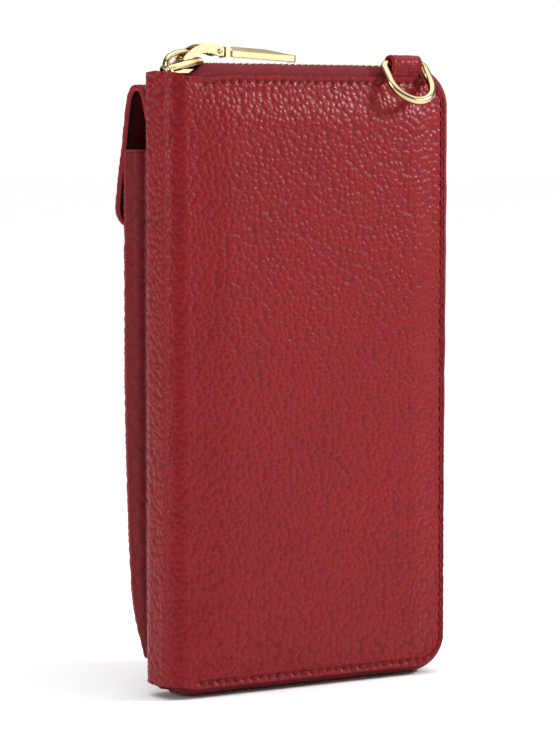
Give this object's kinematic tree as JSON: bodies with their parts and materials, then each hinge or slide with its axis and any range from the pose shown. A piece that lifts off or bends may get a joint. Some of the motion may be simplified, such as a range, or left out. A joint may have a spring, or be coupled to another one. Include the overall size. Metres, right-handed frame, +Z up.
{
  "type": "phone wallet case",
  "caption": "Zip-around leather phone wallet that opens like a book, with a padded back, an outside phone pocket under a snap flap, and a metal D-ring on a leather tab.",
  "frame": {"origin": "middle of the overall box, on the surface the case stands on (the lower run of the zip)", "axes": "+Z up the covers, -Y out of the plain padded back, +Y out of the phone pocket and flap, -X the folded spine, +X the opening edge"},
  "size_m": [0.1094, 0.0478, 0.204],
  "materials": {
    "red_leather": "pebbled, semi-gloss",
    "lining": "matt woven lining",
    "board": "pressed paper board",
    "foam": "soft foam pad",
    "zip_tape": "woven tape",
    "gold_metal": "polished gold-tone plating",
    "snap_metal": "satin gold-tone plating"
  },
  "bodies": {
    "front_half": {"front_leather": "red_leather", "front_board": "board", "front_lining": "lining", "front_card_pocket_1": "lining", "front_card_pocket_2": "lining", "front_card_pocket_3": "lining", "zip_tape_front": "zip_tape", "zip_teeth_front": "gold_metal", "zip_top_stop_front": "gold_metal", "zip_retainer_box": "gold_metal", "pocket_panel": "red_leather", "pocket_gusset_spine_side": "red_leather", "pocket_gusset_open_side": "red_leather", "pocket_bottom_seam": "red_leather", "snap_socket": "snap_metal", "flap_strap": "red_leather"},
    "spine": {"spine_leather": "red_leather", "spine_lining": "lining", "coin_pocket_wall_front": "lining", "coin_pocket_wall_back": "lining"},
    "back_cover": {"back_leather": "red_leather", "back_foam_pad": "foam", "back_board": "board", "back_lining": "lining", "back_card_pocket_1": "lining", "back_card_pocket_2": "lining", "back_card_pocket_3": "lining", "zip_tape_back": "zip_tape", "zip_teeth_back": "gold_metal", "zip_top_stop_back": "gold_metal", "ring_tab": "red_leather"},
    "slider": {"slider_top_plate": "gold_metal", "slider_bottom_plate": "gold_metal", "slider_crown": "gold_metal"},
    "pull_link": {"pull_link": "gold_metal", "pull_pin": "gold_metal"},
    "pull_bar": {"pull_eye": "gold_metal", "pull_collar": "gold_metal", "pull_bar": "gold_metal"},
    "d_ring": {"d_ring": "gold_metal"},
    "flap_neck": {"flap_neck": "red_leather"},
    "flap_panel": {"flap_panel": "red_leather", "snap_stud": "snap_metal"}
  },
  "joints": [
    {"name": "spine_fold_front", "type": "hinge", "parent": "front_half", "child": "spine", "pos_m": [-0.0505, 0.00382, 0.1], "axis": [0, 0, -1], "range_deg": [0, 90]},
    {"name": "spine_fold_back", "type": "hinge", "parent": "spine", "child": "back_cover", "pos_m": [-0.0505, -0.01558, 0.1], "axis": [0, 0, -1], "range_deg": [0, 90]},
    {"name": "slider_slide", "type": "slide", "parent": "front_half", "child": "slider", "axis": [1, 0, 0], "range_m": [0, 0.078]},
    {"name": "link_swing", "type": "hinge", "parent": "slider", "child": "pull_link", "pos_m": [-0.0444, -0.00588, 0.2013], "axis": [0, -1, 0], "range_deg": [0, 130]},
    {"name": "bar_swing", "type": "hinge", "parent": "pull_link", "child": "pull_bar", "pos_m": [-0.0325, -0.00588, 0.2021], "axis": [0, -1, 0], "range_deg": [0, 50]},
    {"name": "ring_swing", "type": "hinge", "parent": "back_cover", "child": "d_ring", "pos_m": [0.0342, -0.01388, 0.199], "axis": [-1, 0, 0], "range_deg": [0, 180]},
    {"name": "flap_lift", "type": "hinge", "parent": "front_half", "child": "flap_neck", "pos_m": [0, 0.00612, 0.1884], "axis": [1, 0, 0], "range_deg": [0, 70]},
    {"name": "flap_unroll", "type": "hinge", "parent": "flap_neck", "child": "flap_panel", "pos_m": [0, 0.01127, 0.1905], "axis": [1, 0, 0], "range_deg": [0, 40]}
  ],
  "couplings": [
    {"joint": "spine_fold_back", "follows": "spine_fold_front", "ratio": 1}
  ]
}
